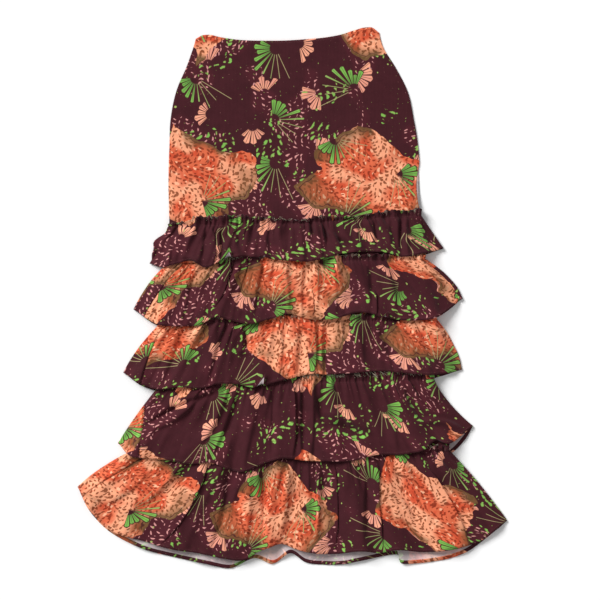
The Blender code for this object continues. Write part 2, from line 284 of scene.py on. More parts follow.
# How far inside a solid's edges their heights are read, as shares of its width, of a heading's
# height, of the drop to the hem, and of a panel's length.
SIDE_INSET = 0.005
HEADING_INSET = 0.06
HEM_INSET = 0.02
PANEL_INSET = 0.002

# The height map of what is laid down.
CELL = 1.2 * MM
MAP_HALF_SIZE = 0.51
BRIDGE = 7 * MM  # how wide a hollow below a sheet passes over

# The studio.
FLOOR_SIZE = 60
PAPER_WHITE = 0.92
STUDIO_LIGHT = 0.46
KEY_LIGHT = 3.6
KEY_SOFTNESS = np.radians(28)
KEY_DIRECTION = (0.62, -0.56, -0.62)
VIEWER_AT = (0.0131, -0.0044, 2.927)

# The side seams in millimetres, from the waist down.
Side = namedtuple("Side", "y left right")
SIDES = (
    Side(474, -163, 149), Side(440, -173, 158), Side(405, -185, 179), Side(365, -202, 200),
    Side(305, -214, 213), Side(262, -215, 220), Side(207, -217, 222), Side(150, -215, 223),
    Side(60, -218, 231), Side(-45, -228, 250), Side(-155, -232, 246), Side(-270, -264, 272),
    Side(-300, -268, 276),
)

# The waist's edge in millimetres, dipping at the centre, by share of the width.
Waist = namedtuple("Waist", "share y")
WAISTLINE = (
    Waist(0.0, 454), Waist(0.02, 459), Waist(0.06, 461), Waist(0.13, 456.5), Waist(0.23, 452),
    Waist(0.37, 450.3), Waist(0.48, 450.6), Waist(0.6, 453), Waist(0.7, 456), Waist(0.8, 462),
    Waist(0.87, 469), Waist(0.94, 474), Waist(0.975, 473), Waist(1.0, 465),
)

# Each tier, in millimetres: the heights of its seam, how far its two side edges bow outwards, a
# point for each fold of its front and back hems, from the left tip to the right one, and the
# creases listed for its front: from one point to the other, bowed sideways by bow, a ridge
# or a trough of that height and half width, with lap of cloth hidden under it where it laps.
Fold = namedtuple("Fold", "x y")
Crease = namedtuple("Crease", "x1 y1 x2 y2 bow width height lap", defaults=(0,))
Tier = namedtuple("Tier", "name seam_left seam_middle seam_right bow_left bow_right front back creases")
TIERS = (
    Tier(
        name="1", seam_left=124, seam_middle=129, seam_right=143, bow_left=6, bow_right=0,
        front=(
            Fold(-248, 59), Fold(-230, 53), Fold(-208, 57), Fold(-177, 64), Fold(-150, 52),
            Fold(-120, 66), Fold(-84, 71), Fold(-45, 68), Fold(-6, 64), Fold(30, 63), Fold(60, 70),
            Fold(92, 77), Fold(128, 80), Fold(164, 78), Fold(194, 71), Fold(228, 77), Fold(263, 85),
        ),
        back=(
            Fold(-248, 59), Fold(-214, 50), Fold(-168, 56), Fold(-118, 58), Fold(-66, 62),
            Fold(-8, 58), Fold(48, 62), Fold(104, 68), Fold(160, 70), Fold(212, 70), Fold(263, 85),
        ),
        creases=(
            Crease(-138, 118, -134, 60, 2, 6, 3.0, lap=14),
            Crease(-126, 116, -124, 62, 1, 5, -3.6),
            Crease(-150, 116, -158, 62, 0, 8, -2.4),
            Crease(-214, 96, -217, 54, 1, 6, 2.6),
            Crease(-196, 74, -160, 62, 3, 5, 2.4),
            Crease(-236, 84, -254, 60, 2, 6, -2.0),
            Crease(-52, 112, -44, 66, 3, 8, 2.2),
            Crease(-96, 120, -88, 76, -2, 7, -1.8),
            Crease(30, 134, 36, 108, 0, 4, -2.2),
            Crease(49, 134, 61, 92, 2, 5, -3.2),
            Crease(64, 116, 84, 84, 3, 7, 2.6),
            Crease(78, 101, 104, 84, 1, 6, -2.8),
            Crease(112, 126, 118, 88, -2, 7, 2.0),
            Crease(143, 134, 146, 84, 1, 5, -2.4),
            Crease(166, 132, 168, 86, 2, 7, 2.2),
            Crease(189, 138, 190, 78, -1, 6, -3.8),
            Crease(199, 140, 202, 74, -2, 5, 3.4),
            Crease(214, 138, 244, 82, 4, 8, -1.8),
        ),
    ),
    Tier(
        name="2", seam_left=59, seam_middle=62, seam_right=66, bow_left=6, bow_right=12,
        front=(
            Fold(-277, -22), Fold(-255, -36), Fold(-231, -48), Fold(-197, -50), Fold(-162, -48),
            Fold(-135, -34), Fold(-108, -40), Fold(-74, -46), Fold(-40, -38), Fold(-6, -29),
            Fold(32, -38), Fold(72, -37), Fold(118, -26), Fold(165, -36), Fold(210, -40),
            Fold(254, -34), Fold(296, -3),
        ),
        back=(
            Fold(-277, -22), Fold(-234, -50), Fold(-182, -46), Fold(-128, -40), Fold(-70, -42),
            Fold(-10, -38), Fold(50, -40), Fold(112, -34), Fold(176, -38), Fold(242, -38),
            Fold(296, -3),
        ),
        creases=(
            Crease(-106, 66, -132, -16, 4, 7, 3.2, lap=16),
            Crease(-176, 40, -190, -44, 3, 10, -2.0),
            Crease(-58, 50, -66, -40, 3, 9, -2.4),
            Crease(-14, 54, -8, -28, 2, 9, 2.6),
            Crease(36, 12, 38, -34, 0, 4, 2.4, lap=8),
            Crease(22, 52, 20, -32, -2, 7, -2.4),
            Crease(43, 54, 44, -6, 0, 5, 2.4),
            Crease(146, 12, 147, -36, 0, 5, 2.8, lap=9),
            Crease(72, 52, 74, -34, 2, 7, 2.0),
            Crease(164, 54, 178, -32, 4, 9, 2.6),
            Crease(134, 56, 138, -24, 2, 8, -2.2),
            Crease(216, 46, 252, -28, 6, 12, 1.8),
        ),
    ),
    Tier(
        name="3", seam_left=-45, seam_middle=-42, seam_right=-39, bow_left=6, bow_right=8,
        front=(
            Fold(-295, -133), Fold(-268, -150), Fold(-234, -160), Fold(-196, -156),
            Fold(-163, -159), Fold(-132, -151), Fold(-98, -151), Fold(-64, -157), Fold(-28, -147),
            Fold(4, -139), Fold(36, -133), Fold(62, -134), Fold(104, -131.5), Fold(156, -128.5),
            Fold(206, -133), Fold(250, -135), Fold(296, -127),
        ),
        back=(
            Fold(-295, -133), Fold(-264, -155), Fold(-226, -165), Fold(-160, -160), Fold(-94, -158),
            Fold(-30, -154), Fold(34, -150), Fold(98, -148), Fold(162, -148), Fold(236, -144),
            Fold(296, -127),
        ),
        creases=(
            Crease(-84, -46, -82, -92, 1, 6, -2.8),
            Crease(-98, -90, -56, -94, -2, 4, 2.0),
            Crease(-134, -52, -152, -150, 4, 9, 2.4),
            Crease(-196, -60, -226, -150, 5, 12, -2.2),
            Crease(38, -36, 40, -136, 2, 5, 3.2, lap=10),
            Crease(56, -48, 58, -140, -2, 6, -2.6),
            Crease(-20, -52, -26, -142, 3, 8, 2.2),
            Crease(14, -50, 10, -134, 0, 8, -2.0),
            Crease(112, -50, 122, -134, 3, 10, 2.0),
            Crease(150, -54, 178, -134, 5, 9, -2.2),
            Crease(212, -56, 240, -134, 4, 12, 1.8),
        ),
    ),
    Tier(
        name="4", seam_left=-157, seam_middle=-151, seam_right=-143, bow_left=3, bow_right=-8,
        front=(
            Fold(-304, -257), Fold(-284, -276), Fold(-250, -281), Fold(-212, -284),
            Fold(-176, -290), Fold(-142, -287), Fold(-112, -299), Fold(-84, -303), Fold(-52, -290),
            Fold(-18, -280), Fold(24, -284), Fold(66, -285), Fold(108, -284), Fold(146, -274),
            Fold(186, -274), Fold(224, -267), Fold(250, -250), Fold(276, -254), Fold(316, -227),
        ),
        back=(
            Fold(-304, -257), Fold(-262, -284), Fold(-206, -288), Fold(-150, -292), Fold(-90, -298),
            Fold(-30, -290), Fold(36, -288), Fold(104, -286), Fold(172, -280), Fold(232, -276),
            Fold(276, -274), Fold(302, -250), Fold(316, -227),
        ),
        creases=(
            Crease(-158, -167, -248, -232, 8, 9, 3.4),
            Crease(-136, -166, -262, -228, -6, 8, -3.2),
            Crease(-118, -170, -168, -262, 6, 10, 3.0),
            Crease(-96, -168, -140, -282, 5, 9, -3.0),
            Crease(-66, -166, -88, -292, 3, 12, 2.2),
            Crease(2, -148, 4, -276, 2, 6, 3.4, lap=10),
            Crease(18, -152, 20, -280, -2, 7, -3.0),
            Crease(34, -150, 32, -280, 2, 7, 2.6),
            Crease(-32, -156, -36, -276, 0, 8, -2.0),
            Crease(46, -176, 60, -226, -4, 9, -2.8),
            Crease(58, -200, 138, -236, 8, 8, 3.4),
            Crease(62, -224, 132, -250, 6, 8, -3.2),
            Crease(152, -158, 180, -268, 6, 11, 1.8),
            Crease(198, -158, 246, -228, -8, 8, -2.4),
            Crease(226, -216, 300, -232, 8, 7, 2.8),
        ),
    ),
    Tier(
        name="5", seam_left=-262, seam_middle=-281, seam_right=-268, bow_left=11, bow_right=4,
        front=(
            Fold(-375.5, -334), Fold(-362, -360), Fold(-336, -394), Fold(-304, -414),
            Fold(-258, -427), Fold(-212, -440), Fold(-162, -448), Fold(-118, -457), Fold(-88, -460),
            Fold(-62, -446), Fold(-40, -437), Fold(-19, -431), Fold(6, -440), Fold(36, -447),
            Fold(78, -449), Fold(118, -443), Fold(150, -447), Fold(186, -441), Fold(230, -446),
            Fold(282, -440), Fold(328, -427), Fold(358, -406), Fold(375.5, -392),
        ),
        back=(
            Fold(-375.5, -334), Fold(-357, -373), Fold(-321, -411), Fold(-264, -440),
            Fold(-206, -456), Fold(-152, -467), Fold(-109, -475), Fold(-68, -457), Fold(-34, -467),
            Fold(-4, -448), Fold(24, -465), Fold(58, -469), Fold(90, -468), Fold(118, -462),
            Fold(184, -451), Fold(194, -467), Fold(262, -461), Fold(304, -447), Fold(338, -424),
            Fold(375.5, -392),
        ),
        creases=(
            Crease(-148, -298, -230, -434, 8, 8, 3.4, lap=14),
            Crease(-188, -300, -300, -390, 8, 14, -2.2),
            Crease(-250, -300, -330, -360, 6, 12, 2.2),
            Crease(-112, -300, -140, -440, 6, 10, -2.4),
            Crease(-78, -296, -84, -440, 4, 11, 2.8),
            Crease(-54, -300, -50, -420, 2, 9, -2.4),
            Crease(-8, -300, -22, -420, 4, 9, 2.4),
            Crease(75, -290, 78, -440, 2, 5, 2.6, lap=9),
            Crease(54, -300, 46, -430, 3, 11, -2.2),
            Crease(152, -298, 162, -440, -5, 7, 3.6, lap=12),
            Crease(156, -330, 212, -386, 6, 6, 3.2),
            Crease(178, -310, 232, -372, 6, 7, -2.6),
            Crease(132, -300, 128, -430, 0, 9, -2.2),
            Crease(234, -292, 312, -432, 6, 6, 2.8, lap=8),
            Crease(262, -316, 346, -400, 6, 12, -2.0),
        ),
    ),
)

# How much further a heading stands up than in its solid, in millimetres, at x.
Rise = namedtuple("Rise", "x up")
EVEN_RISE = (Rise(0, 3),)
FRILL_RISES = {
    "ruffle_1_front": (
        Rise(-217, -3), Rise(-188, 0), Rise(-171, 7), Rise(-96, 8), Rise(-21, 2), Rise(18, -2),
        Rise(48, 4), Rise(85, 0), Rise(109, -1), Rise(154, 3), Rise(175, 5), Rise(200, 2),
        Rise(216, 5),
    ),
    "ruffle_4_front": (
        Rise(-110, 2), Rise(-30, 4), Rise(40, 8), Rise(120, 9), Rise(170, 10.5), Rise(230, 5),
    ),
}

# Corners of the hems that are turned over and show the reverse, in millimetres: at x, on each side
# of it, how deep the fold goes into the cloth, and how far the turned corner leans to the right for
# each millimetre that it reaches.
TurnedCorner = namedtuple("TurnedCorner", "x half_width depth lean")
TURNED_CORNERS = {
    "ruffle_1_front": (TurnedCorner(-114, 11, 15, 0.15), TurnedCorner(-50, 9, 9, 0)),
    "ruffle_2_front": (TurnedCorner(163, 8, 9, 0.2),),
    "ruffle_3_front": (TurnedCorner(-58, 9, 19, 0.3),),
}

# Lumps of a ruffle's left edge, in millimetres: at height y, how far it stands out.
Lump = namedtuple("Lump", "y out half_height")
LEFT_LUMPS = {"ruffle_1_front": (Lump(97, 6.5, 8), Lump(112, -4, 7))}
LUMP_REACH = 14 * MM  # how far into the cloth a lump is felt

# How far in from a ruffle's edge its side seam lies, in millimetres, at the top and at the hem. The
# cloth outside the line comes round from the back half, and its print lies that far up.
Rolled = namedtuple("Rolled", "side top hem print_up")
ROLLED_SEAMS = {
    "ruffle_1_front": (Rolled("right", 5, 5, 0),),
    "ruffle_2_front": (Rolled("left", 28, 23, 0), Rolled("right", 5, 5, 0)),
    "ruffle_3_front": (Rolled("left", 8, 37, 0),),
    "ruffle_4_front": (Rolled("left", -27, 52, 150),),
    "ruffle_5_front": (Rolled("left", 32, 18, 0),),
}
BACK_PRINT_SHIFT = 70 * MM  # from the front's print to the back's, where they meet at a side seam
PALE_HEADINGS = ("ruffle_4_front", "ruffle_4_back")


def column_of(rows, name):
    return np.array([getattr(row, name) for row in rows], float)


def smooth_between(knots, values, at):
    """Values at the knots, joined by a smooth curve, read at other places along it."""
    knots = np.asarray(knots, float)
    values = np.asarray(values, float)
    slopes = np.gradient(values, knots, axis=0)
    start = np.clip(np.searchsorted(knots, at, side="right") - 1, 0, len(knots) - 2)
    shape = (-1,) + (1,) * (values.ndim - 1)
    step = (knots[start + 1] - knots[start]).reshape(shape)
    part = (at - knots[start]).reshape(shape) / step
    return (
        values[start] * (1 + 2 * part) * (1 - part) ** 2
        + slopes[start] * step * part * (1 - part) ** 2
        + values[start + 1] * part**2 * (3 - 2 * part)
        + slopes[start + 1] * step * part**2 * (part - 1)
    )


def side_at(y, side):
    """The x of a side seam at height y."""
    heights = column_of(SIDES, "y")[::-1] * MM
    line = smooth_between(heights, column_of(SIDES, side)[::-1] * MM, np.ravel(y))
    return line.reshape(np.shape(y))


def eased_step(value, end):
    """0 up to 0, then a soft step up to 1 at end."""
    part = np.clip(value / end, 0, 1)
    return part * part * (3 - 2 * part)


def lengths_along(points):
    """Length of the line through the points, up to each of them, down the first axis."""
    steps = np.linalg.norm(np.diff(points, axis=0), axis=-1)
    return np.concatenate([np.zeros_like(steps[:1]), np.cumsum(steps, axis=0)])


def waves(points, size, generator):
    """Gentle unevenness between about -1 and 1, in waves about that size across."""
    total = np.zeros(points.shape[:-1])
    for _ in range(WAVES):
        turn = generator.uniform(0, 2 * np.pi)
        wave = 2 * np.pi / (size * generator.uniform(*WAVE_SIZES))
        along = points[..., 0] * np.cos(turn) + points[..., 1] * np.sin(turn)
        total += np.sin(wave * along + generator.uniform(0, 2 * np.pi))
    return total / (WAVES / 2)


# --- plans and heights, from the sizes and the solids ---


def hem_line(folds, fold):
    """Points of a hem at fold numbers, which may lie between its folds."""
    return smooth_between(np.arange(len(folds)), np.array(folds, float) * MM, fold)


def hem_stations(folds):
    """Fold numbers along a hem, the share of its length at each, and its whole length."""
    fold = np.linspace(0, len(folds) - 1, STATIONS * (len(folds) - 1) + 1)
    along = lengths_along(hem_line(folds, fold))
    return fold, along / along[-1], along[-1]


def ruffle_plan(tier, folds, fold, share, rows):
    """Plan points of half a ruffle, row by row."""
    seam_heights = np.array([tier.seam_left, tier.seam_middle, tier.seam_right]) * MM
    seam_y = smooth_between((0, 0.5, 1), seam_heights, share)
    left, right = side_at(seam_y, "left"), side_at(seam_y, "right")
    seam = np.stack([left + (right - left) * share, seam_y], axis=1)
    hem = hem_line(folds, fold)
    bow = (tier.bow_right * share**BOW_NEAR - tier.bow_left * (1 - share) ** BOW_NEAR) * MM
    plan = []
    for row in rows:
        drop = max(row, 0)
        line = seam * (1 - drop) + hem * drop
        line[:, 0] += bow * 4 * drop * (1 - drop)
        line[:, 1] += HEADING * max(-row, 0)
        plan.append(line)
    return np.array(plan)


def panel_plan(share, down):
    """Plan points of a panel: rows from the waist's edge down, columns from the left side seam."""
    top = smooth_between(column_of(WAISTLINE, "share"), column_of(WAISTLINE, "y") * MM, share)
    y = top * (1 - down[:, None]) - PANEL_END * down[:, None]
    left, right = side_at(y, "left"), side_at(y, "right")
    return np.dstack([left + (right - left) * share, y])


def solid_heights(node, plan):
    """Height of the middle of a solid's wall at each plan point."""
    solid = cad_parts[node]
    corners = [vertex.co for vertex in solid.data.vertices]
    tree = BVHTree.FromPolygons(corners, [face.vertices[:] for face in solid.data.polygons])
    heights = []
    for x, y in plan.reshape(-1, 2):
        top = tree.ray_cast(Vector((x, y, RAY_FROM)), Vector((0, 0, -1)))[0]
        under = tree.ray_cast(Vector((x, y, -RAY_FROM)), Vector((0, 0, 1)))[0]
        if top is None or under is None:
            top = under = tree.find_nearest(Vector((x, y, 0)))[0]
        heights.append((top.z + under.z) / 2)
    return np.array(heights).reshape(plan.shape[:2])


def form_of_ruffle(node, tier, half, rows):
    """A ruffle's smooth form: plan and height of the middle of its wall, in rows and columns."""
    folds = getattr(tier, half)
    station_rows = HALVES[half].station_rows
    fold, share, length = hem_stations(folds)
    inside = np.clip(share, SIDE_INSET, 1 - SIDE_INSET)
    inside_rows = np.clip(station_rows, HEADING_INSET - 1, 1 - HEM_INSET)
    stations = ruffle_plan(tier, folds, np.interp(inside, share, fold), inside, inside_rows)
    fine_share = np.linspace(0, 1, round(length / HALVES[half].step))
    fine_fold = np.interp(fine_share, share, fold)
    plan = ruffle_plan(tier, folds, fine_fold, fine_share, rows)
    across = smooth_between(fold, solid_heights(node, stations).T, fine_fold)
    return np.dstack([plan, smooth_between(station_rows, across.T, rows)])


def form_of_panel(node):
    """A panel's smooth form, in rows from the waist down and columns from left to right."""
    share = np.linspace(0, 1, PANEL_STATION_COLUMNS + 1)
    down = np.linspace(0, 1, PANEL_STATION_ROWS + 1)
    inside = np.clip(share, SIDE_INSET, 1 - SIDE_INSET)
    inside_down = np.clip(down, PANEL_INSET, 1 - PANEL_INSET)
    width = (SIDES[-1].right - SIDES[-1].left) * MM
    length = SIDES[0].y * MM + PANEL_END
    fine_share = np.linspace(0, 1, round(width / PANEL_STEP) + 1)
    fine_down = np.linspace(0, 1, round(length / PANEL_ROW_STEP) + 1)
    across = smooth_between(share, solid_heights(node, panel_plan(inside, inside_down)).T, fine_share)
    return np.dstack([panel_plan(fine_share, fine_down), smooth_between(down, across.T, fine_down)])


# --- gathers, creases and turned edges ---


def add_gathers(points, below, kind, generator):
    """Raises ridges that start at the stitches, uneven in place, height, length and lean."""
    share = np.linspace(0, 1, points.shape[1])
    width = lengths_along(points.swapaxes(0, 1))[-1][:, None]
    count = round(width.min() / kind.step)
    raised = np.zeros(below.shape)
    leaned = np.zeros(below.shape)
    for number in range(count):
        centre = (number + 0.5 + generator.uniform(-GATHER_SHIFT, GATHER_SHIFT)) / count
        length = kind.length * np.exp(generator.normal(0, GATHER_LENGTHS))
        height = kind.height * generator.uniform(*GATHER_HEIGHTS)
        drift = generator.normal(0, GATHER_DRIFT)
        half_width = kind.half_width * (1 + GATHER_WIDENS * np.maximum(below, 0) / length)
        across = (share - centre) * width - drift * below
        ridge = height * np.exp(-((across / half_width) ** 2) - np.maximum(below, 0) / length)
        raised += ridge
        leaned += ridge * generator.normal(0, GATHER_LEAN)
    pinched = 1 - PINCHED + PINCHED * eased_step(np.abs(below), PINCH)
    points[..., 2] += raised * pinched * (1 + FRILL_FULLER * np.maximum(-below, 0) / HEADING)
    points[..., 0] += leaned * pinched * np.where(below < 0, FRILL_LEAN, 1)


def add_frill(points, below, rises, generator):
    """The heading above the stitches stands up in small waves, with an edge that wanders."""
    above = np.maximum(-below, 0) / HEADING
    up = np.interp(points[0, :, 0], column_of(rises, "x") * MM, column_of(rises, "up") * MM)
    points[..., 1] += up * above
    points[..., 2] += FRILL_DEPTH * above * (1 + waves(points, FRILL_WAVES, generator))
    points[..., 1] += FRILL_REACH * above * waves(points, FRILL_WAVES, generator)
    points[..., 0] += FRILL_SHIFT * above * waves(points, FRILL_WAVES, generator)


def add_crease(points, crease):
    """A ridge or trough along the crease, steep on one side, or where the cloth laps, an S-fold.

    Gives the print shift of the cloth beyond a lap, as a list of one, or of none.
    """
    start = np.array([crease.x1, crease.y1]) * MM
    line = np.array([crease.x2, crease.y2]) * MM - start
    length = np.linalg.norm(line)
    line = line / length
    from_start = points[..., :2] - start
    share = from_start @ line / length
    inside = np.clip(share, 0, 1)
    across = from_start[..., 0] * -line[1] + from_start[..., 1] * line[0]
    across -= crease.bow * MM * 4 * inside * (1 - inside)
    fullness = eased_step(share + CREASE_PAST, CREASE_RISES)
    fullness *= eased_step(1 + CREASE_PAST - share, CREASE_FADES)
    width = crease.width * MM
    if crease.lap:
        profile = eased_step(-across, LAP_TURN) * np.exp(np.minimum(across, 0) / (LAP_FADE * width))
        over = (LAP_TURN + LAP_OVERHANG) * profile * fullness
        points[..., :2] += np.array([-line[1], line[0]]) * over[..., None]
    else:
        steep = np.where(across * np.sign(crease.height) > 0, STEEP, 1)
        profile = np.exp(-((across / (width * steep)) ** 2))
    points[..., 2] += CREASE_DEPTH * crease.height * MM * profile * fullness
    return [print_shift(crease.lap * MM * fullness, 0.0, across > 0)] if crease.lap else []


def print_shift(across, up, beyond):
    """How far the print is moved at each point, and 1 where that goes for it."""
    return np.dstack(np.broadcast_arrays(across, up, beyond))


def add_lump(points, lump):
    """Pushes part of the left edge out or in."""
    share = np.exp(-lengths_along(points.swapaxes(0, 1)).T / LUMP_REACH)
    share *= np.exp(-(((points[..., 1] - lump.y * MM) / (lump.half_height * MM)) ** 2))
    points[..., 0] -= lump.out * MM * share


def turn_corner(points, from_hem, corner):
    """Folds a corner of the hem over on itself."""
    wide = np.maximum(1 - np.abs(points[-1, :, 0] - corner.x * MM) / (corner.half_width * MM), 0)
    depth = corner.depth * MM
    spare = eased_step(SPARE_FROM * depth - from_hem, (SPARE_FROM - 1) * depth)
    points[..., 1] -= SPARE * depth * wide * spare
    past = np.maximum(depth * wide - from_hem, 0)
    points[..., 1] += 2 * past
    points[..., 0] += corner.lean * 2 * past
    points[..., 2] += TURNED_LIFT * np.minimum(past / TURNED_LIFT, 1)


def roll_seam(points, below, rolled):
    """The groove of a side seam that has rolled to the front. The cloth outside it rolls higher.

    Gives the print shift of that cloth.
    """
    inwards = lengths_along(points.swapaxes(0, 1)).T
    if rolled.side == "right":
        inwards = inwards[:, -1:] - inwards
    down = np.clip(below / below[-1], 0, 1)
    inwards = inwards - (rolled.top + (rolled.hem - rolled.top) * down) * MM
    points[..., 2] -= GROOVE_DEPTH * np.exp(-((inwards / GROOVE_HALF_WIDTH) ** 2))
    points[..., 2] += ROLL_HEIGHT * eased_step(-inwards, 2 * GROOVE_HALF_WIDTH)
    _, outwards = EDGES[rolled.side]
    return print_shift(-outwards * BACK_PRINT_SHIFT, rolled.print_up * MM, inwards < 0)


def hidden_folds(tier, generator):
    """Creases like the listed ones for the back half, which isn't seen from above."""
    left, right = (side_at(tier.seam_middle * MM, side) / MM for side in EDGES)
    start_y = tier.seam_middle - HIDDEN_TOP
    end_y = column_of(tier.back, "y").mean() + HIDDEN_LOWER_END
    creases = []
    for x in np.arange(left + HIDDEN_ENDS[0], right - HIDDEN_ENDS[1], HIDDEN_STEP):
        start = x + generator.uniform(-HIDDEN_SHIFT, HIDDEN_SHIFT)
        end = start * (1 + generator.uniform(*HIDDEN_SPREADS))
        height = generator.uniform(*HIDDEN_HEIGHTS)
        bow = generator.uniform(-HIDDEN_BOW, HIDDEN_BOW)
        width = generator.uniform(*HIDDEN_WIDTHS)
        creases.append(Crease(start, start_y, end, end_y, bow, width, height))
    return creases


# --- laying the sheets on each other ---


class LaidCloth:
    """The height map of the cloth that is down, which the next sheet is kept clear of."""

    def __init__(self):
        cells = int(2 * MAP_HALF_SIZE / CELL)
        self.tops = np.zeros((cells, cells))

    def cells_at(self, points):
        cells = ((points[..., :2] + MAP_HALF_SIZE) / CELL).astype(int)
        return np.clip(cells, 0, len(self.tops) - 1)

    def lay(self, points):
        """Lifts a sheet clear of the cloth below, smoothly over its hollows, and adds it to the map."""
        cells = self.cells_at(points)
        floor = widest(widest(self.tops))[cells[..., 0], cells[..., 1]] + GAP + CLOTH / 2
        short = np.maximum(floor - points[..., 2], 0)
        rounds = max(2, round(BRIDGE / np.linalg.norm(points[-1, 1] - points[-1, 0])))
        for spread in (widest, blurred):
            for _ in range(rounds):
                short = spread(short)
        points[..., 2] += short
        self.cover(points)

    def cover(self, points):
        """Adds a sheet's upper side to the map, read at four times its rows and twice its columns."""
        rows, columns = points.shape[:2]
        fine = closer(closer(points, 4 * rows).swapaxes(0, 1), 2 * columns).swapaxes(0, 1)
        cells = self.cells_at(fine)
        np.maximum.at(self.tops, (cells[..., 0], cells[..., 1]), fine[..., 2] + CLOTH / 2)


def moved_by_one(grid):
    """A grid moved one cell each way along its first axis, and as it is, with its edges repeated."""
    padded = np.pad(grid, ((1, 1), (0, 0)), mode="edge")
    return padded[:-2], padded[1:-1], padded[2:]


def widest(grid):
    """The highest of each cell and the eight around it."""
    for _ in range(2):
        grid = np.maximum.reduce(moved_by_one(grid)).T
    return grid


def blurred(grid):
    """The mean of each cell and the eight around it."""
    for _ in range(2):
        grid = (sum(moved_by_one(grid)) / 3).T
    return grid


def closer(points, count):
    """Rows of points read at a closer spacing, straight between them."""
    row = np.linspace(0, len(points) - 1, count)
    first = np.minimum(row.astype(int), len(points) - 2)
    part = (row - first)[:, None, None]
    return points[first] * (1 - part) + points[first + 1] * part


class Sheet:
    """A cloth piece on its way to an object."""

    def __init__(self, node, points, cut, from_hem, rests_on):
        self.node = node
        self.name = f"{node}_cloth"
        self.is_ruffle = node.startswith("ruffle")
        self.is_front = node.endswith("front")
        self.points = points
        self.cut = cut  # where each point is on the flat cloth, in metres
        self.from_hem = from_hem  # how far each point is from the hem, or on a panel from the waist's edge
        self.rests_on = rests_on
        self.print_shifts = []  # where the print isn't at its own place on the cut, and how far it is moved

    def join(self, strip, outwards):
        """Joins a strip, given from the edge outwards, to an edge. Its cut runs on from the sheet's own."""
        flip = slice(None, None, outwards)
        wide = strip.shape[1]
        more = ((0, 0), (0, wide), (0, 0))
        points = np.concatenate([self.points[:, flip], strip], axis=1)
        cut = np.pad(self.cut[:, flip], more, mode="edge")
        cut[:, -wide:, 0] += outwards * lengths_along(points[:, -1 - wide:].swapaxes(0, 1)).T[:, 1:]
        self.points, self.cut = points[:, flip], cut[:, flip]
        self.from_hem = np.pad(self.from_hem[:, flip], more[:2], mode="edge")[:, flip]
        shifts = self.print_shifts
        self.print_shifts = [np.pad(shift[:, flip], more, mode="edge")[:, flip] for shift in shifts]


def turn_side(front, back, side):
    """Turns a front sheet round its side seam, down to the back one's edge."""
    edge, outwards = EDGES[side]
    line, under = front.points[:, edge], back.points[:, edge]
    along = np.gradient(line[:, :2], axis=0)
    along /= np.linalg.norm(along, axis=1, keepdims=True)
    outward = np.stack([along[:, 1], -along[:, 0]], axis=1)
    outward *= np.sign(outward[:, :1]) * outwards
    half = np.maximum(line[:, 2] - np.interp(-line[:, 1], -under[:, 1], under[:, 2]), 0) / 2
    strip = []
    for angle in np.linspace(0, np.pi, TURN_COLUMNS + 1)[1:]:
        column = line.copy()
        column[:, :2] += outward * (np.minimum(half, TURN_BULGE) * np.sin(angle))[:, None]
        column[:, 2] -= half * (1 - np.cos(angle))
        strip.append(column)
    front.join(np.stack(strip, axis=1), outwards)


def ruffle_rows(drop, row_step):
    """Rows of half a ruffle: -1 the heading's edge, 0 the stitches, 1 the hem."""
    heading = np.linspace(-1, 0, HEADING_ROWS)[:-1]
    fall = np.linspace(0, 1, round(drop / row_step)) ** ROWS_CLOSE_UP
    return np.sort(np.concatenate([heading, fall, 1 - np.array(HEM_ROWS) * HEM / drop]))


def lay_ruffle(tier, half, laid, rests_on):
    """Half a ruffle: the form of its solid with its own gathers, creases and hem."""
    node = f"ruffle_{tier.name}_{half}"
    generator = np.random.default_rng(HALVES[half].first_seed + int(tier.name))
    drop = tier.seam_middle * MM - column_of(getattr(tier, half), "y").mean() * MM
    rows = ruffle_rows(drop, HALVES[half].row_step)
    points = form_of_ruffle(node, tier, half, rows)
    form = points[..., 2].copy()
    run = lengths_along(points)
    below = run - run[HEADING_ROWS - 1]
    from_hem = below[-1] - below
    hem_run = lengths_along(points[-1])
    cut = np.dstack([np.broadcast_to(hem_run, below.shape) - hem_run[-1] / 2, -below])
    sheet = Sheet(node, points, cut, from_hem, rests_on)
    for kind in GATHERS[half]:
        add_gathers(points, below, kind, generator)
    for crease in tier.creases if sheet.is_front else hidden_folds(tier, generator):
        sheet.print_shifts += add_crease(points, crease)
    points[..., 2] += UNEVEN * waves(points, UNEVEN_WAVES, generator)
    ripple = HEM_RIPPLE * np.exp(-from_hem / RIPPLE_REACH)
    points[..., 2] += ripple * waves(points, RIPPLE_WAVES, generator)
    add_frill(points, below, FRILL_RISES.get(node, EVEN_RISE), generator)
    most = STANDS_UP * (1 - HEADING_LOWER * np.clip(-below / HEADING, 0, 1))
    points[..., 2] = form + most * np.tanh((points[..., 2] - form) / most)
    for corner in TURNED_CORNERS.get(node, ()):
        turn_corner(points, from_hem, corner)
    for lump in LEFT_LUMPS.get(node, ()):
        add_lump(points, lump)
    laid.lay(points)
    sheet.print_shifts += [roll_seam(points, below, rolled) for rolled in ROLLED_SEAMS.get(node, ())]
    return sheet


def lay_panel(half, laid, rests_on):
    """A panel: fitted and smooth, only a little uneven."""
    node = f"panel_{half}"
    points = form_of_panel(node)
    from_waist = lengths_along(points)
    if half == "front":
        middle, reach = (DRAWN_TOP + DRAWN_END) / 2, (DRAWN_TOP - DRAWN_END) / 2
        near_right = np.linspace(0, 1, points.shape[1]) ** DRAWN_NEAR
        points[..., 0] -= DRAWN_IN * np.clip(1 - ((points[..., 1] - middle) / reach) ** 2, 0, 1) * near_right
    generator = np.random.default_rng(PANEL_SEEDS[half])
    uneven = PANEL_UNEVEN * waves(points, PANEL_WAVES, generator)
    points[..., 2] += uneven * (points[..., 1] > 0)
    laid.lay(points)
    return Sheet(node, points, points[..., :2].copy(), from_waist, rests_on)


